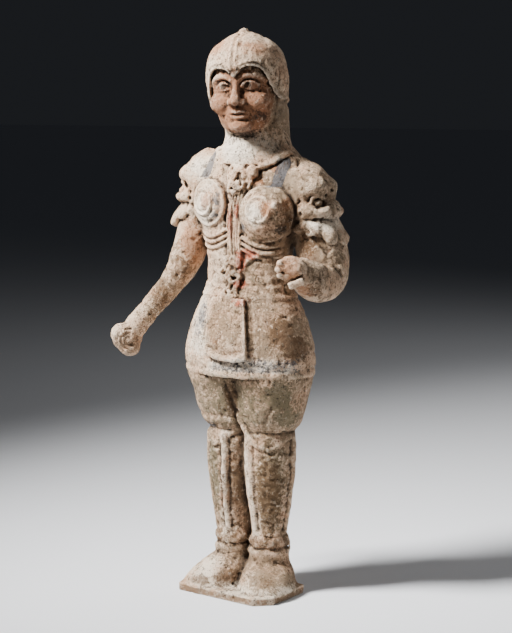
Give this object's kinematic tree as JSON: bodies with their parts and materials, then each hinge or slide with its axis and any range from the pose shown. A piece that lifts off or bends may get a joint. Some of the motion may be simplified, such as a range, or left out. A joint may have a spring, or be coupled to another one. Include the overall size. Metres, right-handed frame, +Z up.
{
  "type": "lokapala tomb figure",
  "caption": "Standing armoured tomb guardian in painted earthenware, one arm lowered and one bent, both fists closed, fired in one piece with its thin foot plate.",
  "frame": {"origin": "the middle of the foot plate's underside", "axes": "+Z runs up the figure; the figure faces -Y, so its left hand is on the +X side"},
  "size_m": [0.305, 0.1435, 0.7242],
  "materials": {
    "figure": "unglazed earthenware with a worn cream slip and traces of red, brown and blue-grey pigment; matt and slightly gritty"
  },
  "bodies": {
    "root": {"figure": "figure"}
  },
  "joints": []
}
